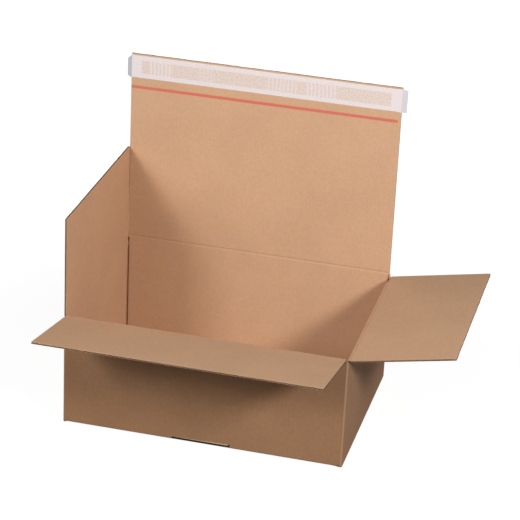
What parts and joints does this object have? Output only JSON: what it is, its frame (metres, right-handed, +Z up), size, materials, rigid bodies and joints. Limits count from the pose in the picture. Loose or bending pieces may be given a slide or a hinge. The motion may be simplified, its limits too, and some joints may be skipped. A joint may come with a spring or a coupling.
{
  "type": "auto-bottom shipping box",
  "caption": "Corrugated board shipping box with a crash-lock bottom, hinged side and front flaps and a full-width lid with adhesive strip, release paper and tear strip.",
  "frame": {"origin": "on the floor under the middle of the box, level with the underside of the lower bottom panels", "axes": "+X along the front wall to the right, +Y from the front wall to the back wall that carries the lid, +Z up"},
  "size_m": [0.6227, 0.4868, 0.5171],
  "materials": {
    "board_outside": "brown kraft board, matt, with the flutes showing faintly",
    "board_inside": "brown kraft board, matt",
    "adhesive": "pale hot-melt adhesive, satin",
    "release_paper": "siliconed paper, satin",
    "tear_film": "translucent red film"
  },
  "bodies": {
    "carton": {"carton_body": "board_outside"},
    "front_flap": {"front_flap": "board_inside"},
    "right_flap": {"right_flap": "board_inside"},
    "left_flap": {"left_flap": "board_inside"},
    "lid": {"lid_flap": "board_inside", "adhesive_strip": "adhesive", "release_liner": "release_paper", "tear_strip": "tear_film"}
  },
  "joints": [
    {"name": "front_flap_crease", "type": "hinge", "parent": "carton", "child": "front_flap", "pos_m": [0, -0.1615, 0.1893], "axis": [1, 0, 0], "range_deg": [-169, 41]},
    {"name": "right_flap_crease", "type": "hinge", "parent": "carton", "child": "right_flap", "pos_m": [0.2265, 0, 0.1859], "axis": [0, 1, 0], "range_deg": [-169, 41]},
    {"name": "left_flap_crease", "type": "hinge", "parent": "carton", "child": "left_flap", "pos_m": [-0.2265, 0, 0.1859], "axis": [0, -1, 0], "range_deg": [-90, 120]},
    {"name": "lid_crease", "type": "hinge", "parent": "carton", "child": "lid", "pos_m": [0, 0.1615, 0.1931], "axis": [-1, 0, 0], "range_deg": [-90, 120]}
  ]
}
